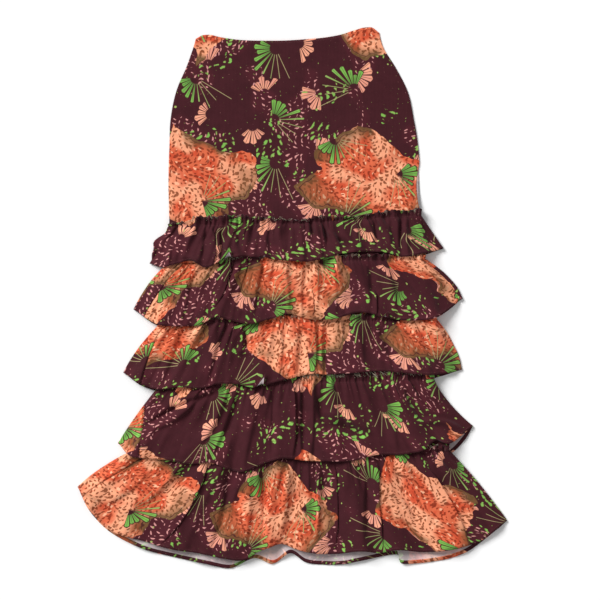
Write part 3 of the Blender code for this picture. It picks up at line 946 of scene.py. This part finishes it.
def names_of(sheets):
    return [sheet.name for sheet in sheets]


def lay_sheets():
    """All the sheets, laid on each other from the floor up and joined at their sides."""
    laid = LaidCloth()
    backs, fronts = [], []
    for tier in TIERS:
        backs.append(lay_ruffle(tier, "back", laid, [*names_of(backs[-1:]), "floor"]))
    panel_back = lay_panel("back", laid, ["floor", *names_of(backs)])
    panel_front = lay_panel("front", laid, [panel_back.name])
    for tier in reversed(TIERS):
        fronts.append(lay_ruffle(tier, "front", laid, [*names_of(fronts[-1:]), panel_front.name]))
    for front, back in zip([*fronts, panel_front], [*reversed(backs), panel_back]):
        for side in EDGES:
            turn_side(front, back, side)
    return [*fronts, panel_front, *backs, panel_back]


# --- sheets and threads as objects ---


def new_piece(name, mesh):
    """A smooth mesh as an object in the scene."""
    mesh.shade_smooth()
    piece = bpy.data.objects.new(name, mesh)
    bpy.context.scene.collection.objects.link(piece)
    return piece


def cloth_object(sheet, materials):
    """The sheet as a mesh with its print on one side, its reverse on the other and its hem doubled."""
    rows, columns = sheet.points.shape[:2]
    start = (np.arange(rows - 1)[:, None] * columns + np.arange(columns - 1)).ravel()
    quads = np.stack([start, start + columns, start + columns + 1, start + 1], axis=1)
    cut = sheet.cut.reshape(-1, 2)[quads].copy()
    for shift in sheet.print_shifts:
        at_quads = shift.reshape(-1, 3)[quads]
        goes_for_it = at_quads[..., 2].mean(axis=1) > 0.5
        cut += at_quads[..., :2] * goes_for_it[:, None, None]
    if not sheet.is_front:
        quads, cut = quads[:, ::-1], cut[:, ::-1]
    mesh = bpy.data.meshes.new(sheet.name)
    mesh.from_pydata(sheet.points.reshape(-1, 3).tolist(), [], quads.tolist())
    for material in materials:
        mesh.materials.append(material)
    from_hem = sheet.from_hem.ravel()
    mesh.uv_layers.new(name="cut").data.foreach_set("uv", cut.astype(np.float32).ravel())
    mesh.attributes.new("from_hem", "FLOAT", "POINT").data.foreach_set("value", from_hem.astype(np.float32))
    piece = new_piece(sheet.name, mesh)
    doubled = piece.vertex_groups.new(name="doubled")
    doubled.add((from_hem < HEM).nonzero()[0].tolist(), 1.0, "REPLACE")
    doubled.add((from_hem >= HEM).nonzero()[0].tolist(), 0.5, "REPLACE")
    wall = piece.modifiers.new("cloth", "SOLIDIFY")
    wall.thickness = 2 * CLOTH
    wall.offset = 0
    wall.vertex_group = "doubled"
    wall.material_offset = 1
    return piece


def line_over(sheet, from_hem):
    """The line over a sheet that is that far from its hem in each column, and the normals along it."""
    points = sheet.points
    normals = np.cross(np.gradient(points, axis=0), np.gradient(points, axis=1))
    normals /= np.linalg.norm(normals, axis=-1, keepdims=True)
    values = np.concatenate([points, normals], axis=2)
    line = []
    for column, distance in enumerate(from_hem):
        order = np.argsort(sheet.from_hem[:, column])
        distances = sheet.from_hem[order, column]
        line.append([np.interp(distance, distances, value) for value in values[order, column].T])
    return np.array(line)


def length_of(line):
    return lengths_along(line[:, :3])[-1]


def read_along(line, places):
    """Points and normals at places, in metres along a line."""
    along = lengths_along(line[:, :3])
    read = np.stack([np.interp(places, along, value) for value in line.T], axis=-1)
    return read[..., :3], read[..., 3:]


def stitches(line, height):
    """Each stitch's points: it comes up out of the cloth, runs along the line and goes back in."""
    starts = np.arange(STITCH, length_of(line) - STITCH, STITCH)
    points, ups = read_along(line, starts[:, None] + STITCH * STITCH_PLACES)
    rise = np.sign(height) * (abs(height) + THREAD - STITCH_SINKS)
    return points + ups * rise[:, None]


def overlock(sheet, rise, generator):
    """The zigzag of thread that binds a heading's cut edge, over it and a little way down."""
    edge = line_over(sheet, sheet.from_hem[0])
    inner = line_over(sheet, sheet.from_hem[0] - OVERLOCK_DEPTH)
    count = int(length_of(edge) / OVERLOCK_STEP) * 2
    shares = np.arange(count) + generator.uniform(-OVERLOCK_SHIFT, OVERLOCK_SHIFT, count)
    shares = np.clip(shares / count, 0, 1)
    outside, outside_ups = read_along(edge, shares * length_of(edge))
    inside, inside_ups = read_along(inner, shares * length_of(inner))
    inside = outside + (inside - outside) * generator.uniform(*OVERLOCK_DEPTHS, (count, 1))
    odd = np.arange(count)[:, None] % 2
    return np.where(odd, outside + outside_ups * rise, inside + inside_ups * rise)[None]


def thread_object(name, runs, radius, material):
    """Lengths of thread as one mesh of round tubes, each through its own run of points."""
    along = np.gradient(runs, axis=1)
    along /= np.linalg.norm(along, axis=-1, keepdims=True)
    side = np.cross(along, (0.01, 0.02, 1))
    side /= np.linalg.norm(side, axis=-1, keepdims=True)
    over = np.cross(side, along)
    turns = np.arange(THREAD_SIDES)[:, None] * 2 * np.pi / THREAD_SIDES
    round_it = np.cos(turns) * side[..., None, :] + np.sin(turns) * over[..., None, :]
    rings = runs[..., None, :] + radius * round_it
    numbers = np.arange(rings.size // 3).reshape(*runs.shape[:2], THREAD_SIDES)
    after = np.roll(numbers, -1, axis=2)
    quads = np.stack([numbers[:, :-1], after[:, :-1], after[:, 1:], numbers[:, 1:]], axis=-1).reshape(-1, 4)
    caps = np.concatenate([numbers[:, 0, ::-1], numbers[:, -1]])
    mesh = bpy.data.meshes.new(name)
    mesh.from_pydata(rings.reshape(-1, 3).tolist(), [], quads.tolist() + caps.tolist())
    mesh.materials.append(material)
    return new_piece(name, mesh)


def sew(sheet, threads):
    """A sheet's sewing: the stitches of its hem and of its gathered seam, and its heading's overlock."""
    shows = 1 if sheet.is_front else -1
    sides = (1, -1) if sheet.is_ruffle and not sheet.is_front else (1,)
    line = line_over(sheet, np.full(sheet.points.shape[1], HEM_STITCHED))
    runs = np.concatenate([stitches(line, side * CLOTH) for side in sides])
    sewing = [thread_object(f"{sheet.node}_hem_stitches", runs, THREAD, threads["sewing"])]
    if sheet.is_ruffle:
        line = line_over(sheet, sheet.from_hem[HEADING_ROWS - 1])
        runs = stitches(line, shows * CLOTH / 2)
        sewing.append(thread_object(f"{sheet.node}_gathering_stitches", runs, THREAD, threads["sewing"]))
        pale = sheet.node in PALE_HEADINGS
        radius, thread = (WOOLLY_RADIUS, "pale_overlock") if pale else (OVERLOCK_RADIUS, "overlock")
        runs = overlock(sheet, shows * (CLOTH / 2 + radius), np.random.default_rng(OVERLOCK_SEED))
        sewing.append(thread_object(f"{sheet.node}_overlock", runs, radius, threads[thread]))
    return sewing


# --- print and materials ---


def ink(code):
    """An sRGB hex colour as linear numbers."""
    channels = [int(code[at:at + 2], 16) / 255 for at in (0, 2, 4)]
    linear = [part / 12.92 if part <= 0.04045 else ((part + 0.055) / 1.055) ** 2.4 for part in channels]
    return (*linear, 1)


def result(made):
    """The first of a node's outputs that is in use."""
    return next(output for output in made.outputs if output.enabled)


def add_node(tree, kind, *inputs, **settings):
    """Adds a node with its settings, and its inputs in order: a value, ink, socket or whole node each.

    The node's operation, where it has one, follows its kind after a colon.
    """
    kind, _, operation = kind.partition(":")
    made = tree.nodes.new("ShaderNode" + kind)
    settings = {**USUAL_SETTINGS.get(kind, {}), **settings}
    if operation:
        settings["operation"] = operation
    for name, value in settings.items():
        setattr(made, name, value)
    for socket, value in zip([socket for socket in made.inputs if socket.enabled], inputs):
        if isinstance(value, str):
            value = ink(value)
        if isinstance(value, bpy.types.Node):
            value = result(value)
        if isinstance(value, bpy.types.NodeSocket):
            tree.links.new(value, socket)
        elif value is not None:
            socket.default_value = value
    return made


def scattered(add, place, motif, turn):
    """Motifs on a jittered half-drop grid: x and y from a motif's middle, turned its own way; its chance."""
    width, height = motif.grid
    shuffle, jitter = (motif.shuffle, motif.shuffle, 0), (motif.jitter, motif.jitter, 0)
    cells = add("VectorMath:MULTIPLY_ADD", place, (1 / width, 1 / height, 0), shuffle)
    x, y, _ = add("SeparateXYZ", cells).outputs
    dropped = add("Math:MULTIPLY_ADD", add("Math:FLOOR", x), 0.5, y)
    cells = add("CombineXYZ", x, dropped, 0)
    cell = add("VectorMath:FLOOR", cells)
    own_turn, random = add("TexWhiteNoise", cell, noise_dimensions="2D").outputs
    middle = add("VectorMath:MULTIPLY_ADD", random, jitter, cell)
    middle = add("VectorMath:ADD", middle, (0.5 - motif.jitter / 2, 0.5 - motif.jitter / 2, 0))
    inside = add("VectorMath:SUBTRACT", cells, middle)
    inside = add("VectorMath:MULTIPLY", inside, (width, height, 0))
    angle = add("Math:MULTIPLY_ADD", own_turn, motif.turns, turn)
    turned = add("VectorRotate", inside, (0, 0, 0), angle, rotation_type="Z_AXIS")
    x, y, _ = add("SeparateXYZ", turned).outputs
    return x, y, add("SeparateXYZ", random).outputs["Z"]


def polar(add, x, y):
    square = add("Math:MULTIPLY", y, y)
    square = add("Math:MULTIPLY_ADD", x, x, square)
    return add("Math:SQRT", square), add("Math:ARCTAN2", y, x)


def less(add, reach, value, softness):
    """1 where a value is less than a reach and 0 beyond, with a soft edge that wide."""
    spare = add("Math:SUBTRACT", reach, value)
    return add("MapRange", spare, -softness / 2, softness / 2, 0, 1)


def clouds(add, place, cloud):
    """Where the soft clouds are thick: floor outside them, up to 1."""
    noise = add("TexNoise", place, cloud.scale, 1, 0.5)
    return add("MapRange", noise, cloud.low, cloud.high, cloud.floor, 1)


def brushed(add, place, marks, flow, rough, crowded=1.0):
    """1 inside small brush marks, ellipses with a rough edge, fewer where less crowded; their chance."""
    x, y, chance = scattered(add, place, marks, flow)
    size = add("MapRange", chance, marks.from_chance, 1, marks.smallest, marks.largest)
    size = add("Math:MULTIPLY", size, crowded)
    long = add("Math:DIVIDE", x, marks.half_length)
    wide = add("Math:DIVIDE", y, marks.half_width)
    radius, _ = polar(add, long, wide)
    return less(add, size, add("Math:ADD", radius, rough), 0.4), chance


def fans(add, place, fan):
    """Fans of blades round a hub, each blade with its own length.

    Where the fan thins, they get narrower and longer from one side of it to the other. Gives masks
    of the blades and of their dark edges, how thin each is, and each point's millimetres from the
    hub and from its blade's middle line.
    """
    x, y, chance = scattered(add, place, fan, 0.0)
    hand = add("Math:SIGN", add("Math:SUBTRACT", chance, FAN_MIRRORED))
    x = add("Math:ADD", x, fan.radius / 2)
    radius, angle = polar(add, x, add("Math:MULTIPLY", y, hand))
    share = add("Math:DIVIDE", angle, fan.blade)
    number = add("Math:ROUND", share)
    last = fan.spread / fan.blade
    thin = add("MapRange", number, last / 2, -last, 0, fan.thins)
    side = add("Math:ABSOLUTE", add("Math:SUBTRACT", share, number))
    across = add("Math:MULTIPLY", add("Math:MULTIPLY", side, radius), fan.blade)
    broadest, thinnest = (part * fan.blade for part in BLADE_HALF_WIDTHS)
    half = add("MapRange", thin, 0, 0.6, broadest, thinnest)
    half = add("Math:MULTIPLY_ADD", half, radius, -BLADE_TRIM)
    half = add("Math:MAXIMUM", half, BLADE_LEAST)
    random = add("TexWhiteNoise", add("CombineXYZ", number, chance, 0), noise_dimensions="3D")
    shortest, longest = (part * fan.radius for part in BLADE_LENGTHS)
    length = add("MapRange", random, 0, 1, shortest, longest)
    length = add("Math:MULTIPLY", length, add("Math:MULTIPLY_ADD", thin, BLADE_LONGER, 1.0))
    length = add("Math:MULTIPLY_ADD", across, -BLADE_ROUND, length)
    here = less(add, fan.spread, add("Math:ABSOLUTE", angle), 0.01)
    here = add("Math:MULTIPLY", here, less(add, chance, fan.absent, 0.01))
    blade = add("Math:MULTIPLY", less(add, half, across, 0.7), less(add, length, radius, 1))
    blade = add("Math:MULTIPLY", blade, less(add, radius, BLADE_START * fan.radius, 1.5))
    blade = add("Math:MULTIPLY", blade, here)
    half = add("Math:ADD", half, EDGE_WIDER)
    length = add("Math:ADD", length, EDGE_LONGER)
    edge = add("Math:MULTIPLY", less(add, half, across, 0.7), less(add, length, radius, 1))
    edge = add("Math:MULTIPLY", edge, here)
    edge = add("Math:MULTIPLY", edge, add("MapRange", thin, 0.3, 0.6, 1, 0))
    return blade, edge, thin, radius, across


def coral_patches(add, place):
    """How far inside a coral patch each point is: an ogee that slants, with a wandering edge."""
    width, height = PATCH_REPEAT
    wander = add("TexNoise", place, PATCH_WANDER_SCALE, 1, 0.5).outputs["Color"]
    wandered = add("VectorMath:MULTIPLY_ADD", wander, (PATCH_WANDER, PATCH_WANDER, 0), place)
    wandered = add("VectorMath:ADD", wandered, (-PATCH_WANDER / 2, -PATCH_WANDER / 2, 0))
    x, y, _ = add("SeparateXYZ", wandered).outputs
    y = add("Math:WRAP", y, height / 2, -height / 2)
    x = add("Math:WRAP", add("Math:MULTIPLY_ADD", y, PATCH_SLANT, x), width / 2, -width / 2)
    up = add("MapRange", y, -PATCH_HALF_HEIGHT, PATCH_HALF_HEIGHT, -np.pi, np.pi)
    wide = add("Math:COSINE", up)
    wide = add("Math:MULTIPLY_ADD", wide, PATCH_HALF_WIDTH / 2, PATCH_HALF_WIDTH / 2)
    inside = add("Math:SUBTRACT", wide, add("Math:ABSOLUTE", x))
    ragged = add("TexNoise", place, PATCH_RAGGED_SCALE, 1, 0.5)
    inside = add("Math:MULTIPLY_ADD", ragged, PATCH_RAGGED, inside)
    return add("Math:SUBTRACT", inside, PATCH_TRIM)


def coral_ground(add, place, inside, flow, rough):
    """Coral clouded with peach, thick with brown strokes, and shaded olive along some of its edges."""
    red = clouds(add, place, RED_CLOUDS)
    colour = add("Mix", red, PEACH, CORAL)
    vivid = add("Math:MULTIPLY", clouds(add, place, VIVID_CLOUDS), red)
    colour = add("Mix", vivid, colour, VIVID_CORAL)
    spot, _ = brushed(add, place, PALE_SPOTS, flow, rough)
    colour = add("Mix", spot, colour, PALE_PEACH)
    brown = add("Mix", red, BROWN, RED_BROWN)
    for spots, strength in ((SPOTS, 0.95), (BIG_SPOTS, 0.9)):
        spot, _ = brushed(add, place, spots, flow, rough)
        colour = add("Mix", add("Math:MULTIPLY", spot, strength), colour, brown)
    near = add("MapRange", inside, *SHADED, SHADE_STRENGTH, 0)
    shade = add("Math:MULTIPLY", clouds(add, place, OLIVE_CLOUDS), near)
    colour = add("Mix", shade, colour, OLIVE)
    from_line = add("Math:ABSOLUTE", add("Math:SUBTRACT", inside, SHADE_LINE))
    line = add("Math:MULTIPLY", less(add, SHADE_LINE_HALF_WIDTH, from_line, 0.8), shade)
    return add("Mix", line, colour, AUBERGINE)


def dark_ground(add, place, flow, rough):
    """Aubergine, with drifts of pink dashes, of larger green ones, and a few pale dots."""
    drift = clouds(add, place, PINK_DRIFTS)
    colour = add("Mix", add("Math:MULTIPLY", drift, 0.5), AUBERGINE, WINE)
    crowded = add("Math:MULTIPLY_ADD", drift, 1.5, -0.5)  # below 0, where there are none, up to 1
    dash, _ = brushed(add, place, PINK_DASHES, flow, rough, crowded)
    colour = add("Mix", dash, colour, DUSTY_PINK)
    dot, _ = brushed(add, place, DOTS, 0.0, rough)
    colour = add("Mix", dot, colour, LIME)
    moved = add("VectorMath:ADD", place, GREEN_DRIFTS_MOVED)
    crowded = clouds(add, moved, GREEN_DRIFTS)
    dash, chance = brushed(add, place, GREEN_DASHES, flow, rough, crowded)
    return add("Mix", dash, colour, add("Mix", chance, LIME, LEAF_GREEN))


def add_blossoms(add, place, ground):
    """Half-open peach blossoms with dark veins."""
    petal, _, _, _, across = fans(add, place, BLOSSOMS)
    colour = add("Mix", clouds(add, place, PETAL_CLOUDS), PETAL, PINK_PETAL)
    vein = add("Math:MULTIPLY", less(add, PETAL_VEIN, across, VEIN_SOFTNESS), 0.85)
    colour = add("Mix", vein, colour, AUBERGINE)
    return add("Mix", petal, ground, colour)


def add_leaves(add, place, ground):
    """Fan leaves: broad green blades with dark edges, passing into long thin pale ones."""
    blade, edge, thin, radius, across = fans(add, place, LEAVES)
    colour = add("Mix", edge, ground, AUBERGINE)
    bright = add("MapRange", radius, 0.2 * LEAVES.radius, LEAVES.radius, 0, 1)
    green = add("Mix", bright, DEEP_GREEN, LEAF_GREEN)
    pale = add("MapRange", thin, 0.3, 0.8, 0, 1)
    green = add("Mix", pale, green, STRAW)
    vein = less(add, LEAF_VEIN, across, VEIN_SOFTNESS)
    vein = add("Math:MULTIPLY", vein, less(add, 0.4, thin, 0.05))
    vein = add("Math:MULTIPLY", vein, 0.8)
    green = add("Mix", vein, green, AUBERGINE)
    return add("Mix", blade, colour, green)


def printed_design(name):
    """The print as a node group: from a place on the cloth, in millimetres, to its ink.

    Its flow turns the brush marks from place to place, and rough frays their edges.
    """
    tree = bpy.data.node_groups.new(name, "ShaderNodeTree")
    tree.interface.new_socket("Place", in_out="INPUT", socket_type="NodeSocketVector")
    tree.interface.new_socket("Ink", in_out="OUTPUT", socket_type="NodeSocketColor")
    place = tree.nodes.new("NodeGroupInput").outputs["Place"]
    add = partial(add_node, tree)
    inside = coral_patches(add, place)
    flow = add("Math:MULTIPLY", add("TexNoise", place, FLOW_SCALE, 1, 0.5), FLOW_TURNS)
    rough = add("Math:MULTIPLY_ADD", add("TexNoise", place, FRAYED_SCALE, 1, 0.5), FRAYED, -FRAYED / 2)
    dark = add_blossoms(add, place, dark_ground(add, place, flow, rough))
    coral = coral_ground(add, place, inside, flow, rough)
    colour = add("Mix", less(add, inside, 0, 1), dark, coral)
    colour = add_leaves(add, place, colour)
    tree.links.new(result(colour), tree.nodes.new("NodeGroupOutput").inputs["Ink"])
    return tree


def new_material(name, roughness, specular):
    """A material with that roughness and specular level, what adds its nodes, and its shader's inputs."""
    material = bpy.data.materials.new(name)
    material.use_nodes = True
    inputs = material.node_tree.nodes["Principled BSDF"].inputs
    inputs["Roughness"].default_value = roughness
    inputs["Specular IOR Level"].default_value = specular
    return material, partial(add_node, material.node_tree), inputs


def knit_grain(add, place):
    """Columns of V-shaped stitches, between -1 and 1."""
    x, y, _ = add("SeparateXYZ", place).outputs
    wale = add("Math:SINE", add("Math:MULTIPLY", x, 2 * np.pi / WALE))
    lean = add("Math:MULTIPLY", wale, 0.9)
    course = add("Math:SINE", add("Math:MULTIPLY_ADD", y, 2 * np.pi / COURSE, lean))
    return add("Math:MULTIPLY_ADD", course, 0.5, wale)


def printed_jersey(node, design, side):
    """Viscose jersey, knitted and then screen printed on its face: matt, with a faint knit grain.

    The ink lies a little unevenly. The reverse is the pale yarn with the print showing through it,
    and the printed face again where the hem is turned up.
    """
    material, add, inputs = new_material(f"printed_jersey_{side}_{node}", roughness=0.8, specular=0.08)
    x, y = PRINT_ORIGINS[node]
    cut = add("UVMap", uv_map="cut")
    place = add("Mapping", cut, (-x, -y, 0), (0, 0, 0), (1000, 1000, 1000))
    printed = add("Group", place, node_tree=design)
    if side == "reverse":
        through = add("Mix", SHOW_THROUGH, PALE_REVERSE, printed)
        from_hem = add("Attribute", attribute_name="from_hem").outputs["Fac"]
        printed = add("Mix", less(add, TURNED_PRINT, from_hem, 0.5 * MM), through, printed)
    patchy = add("TexNoise", place, 0.07, 2, 0.6)
    strength = add("MapRange", patchy, 0.3, 0.7, *UNEVEN_INK)
    knit = knit_grain(add, place)
    # the knit grain also lightens and darkens the ink a little: painted light and shade on its loops
    strength = add("Math:MULTIPLY_ADD", knit, 0.03, strength)
    colour = add("VectorMath:SCALE", printed, strength)
    bump = add("Bump", KNIT_STRENGTH, 1.0 * MM, None, knit)
    material.node_tree.links.new(result(colour), inputs["Base Color"])
    material.node_tree.links.new(result(bump), inputs["Normal"])
    inputs["Sheen Weight"].default_value = 0.1
    inputs["Sheen Roughness"].default_value = 0.45
    return material


def spun_thread(name, light, dark, share):
    """Spun polyester thread: dull, with the ply's twist as painted light and shade, in lighter and darker
    turns 12.6 mm apart.

    The larger the share, the more of its length is the light thread and not the dark one.
    """
    material, add, inputs = new_material(name, roughness=0.6, specular=0.3)
    place = add("TexCoord").outputs["Object"]
    twist_light_and_shade = add("TexWave", place, TWIST_SCALE, 1.5, 1, 8, bands_direction="DIAGONAL")
    length = add("TexNoise", place, 60, 1, 0.5, noise_dimensions="3D")
    low, high = (end - LIGHT_LOWER * share for end in LIGHT_LENGTHS)
    length = add("MapRange", length, low, high, 0, 1)
    colour = add("Mix", length, dark, light)
    # painted light and shade of the ply's twist
    shade = add("MapRange", twist_light_and_shade.outputs["Fac"], 0, 1, *TWIST_LIGHT_AND_SHADE)
    material.node_tree.links.new(result(add("VectorMath:SCALE", colour, shade)), inputs["Base Color"])
    return material


def matt_paper():
    """Background paper, uncoated and matt: plain white, with no gloss."""
    material, _, inputs = new_material("white_paper", roughness=0.95, specular=0.0)
    inputs["Base Color"].default_value = (PAPER_WHITE, PAPER_WHITE, PAPER_WHITE, 1)
    return material


def make_skirt():
    """The skirt's cloth and sewing as objects, for each sheet: the cloth, and the list of its threads."""
    sheets = lay_sheets()
    design = printed_design("leaves_and_patches")
    cloths = []
    for sheet in sheets:
        materials = [printed_jersey(sheet.node, design, side) for side in ("face", "reverse")]
        cloths.append(cloth_object(sheet, materials))
    threads = {
        "sewing": spun_thread("sewing_thread", SEWING_THREAD, SEWING_THREAD, 0),
        "overlock": spun_thread("overlock_thread", OVERLOCK_THREAD, DARK_THREAD, 0.35),
        "pale_overlock": spun_thread("pale_overlock_thread", OVERLOCK_THREAD, DARK_THREAD, 0.8),
    }
    made = []
    for sheet, cloth in zip(sheets, cloths):
        sewing = sew(sheet, threads)
        for part in (cloth, *sewing):
            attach(part, "root")
        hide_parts(sheet.node)
        made.append((sheet, cloth, sewing))
    return made


def make_stage():
    scene = bpy.context.scene
    bpy.ops.mesh.primitive_plane_add(size=FLOOR_SIZE, location=(0, 0, -GAP))
    floor = bpy.context.object
    floor.name = "floor"
    floor.data.materials.append(matt_paper())
    scene.world = bpy.data.worlds.new("studio")
    scene.world.use_nodes = True
    around = scene.world.node_tree.nodes["Background"].inputs
    around["Color"].default_value = (1, 1, 1, 1)
    around["Strength"].default_value = STUDIO_LIGHT
    light = bpy.data.lights.new("key", "SUN")
    light.energy = KEY_LIGHT
    light.angle = KEY_SOFTNESS
    lamp = bpy.data.objects.new("key", light)
    lamp.rotation_euler = Vector(KEY_DIRECTION).to_track_quat("-Z", "Y").to_euler()
    scene.collection.objects.link(lamp)
    camera = bpy.data.cameras.new("camera")
    camera.lens = 100
    camera.sensor_width = 36
    viewer = bpy.data.objects.new("camera", camera)
    viewer.location = VIEWER_AT
    scene.collection.objects.link(viewer)
    scene.camera = viewer
    scene.view_settings.view_transform = "Standard"


skirt = make_skirt()
make_stage()
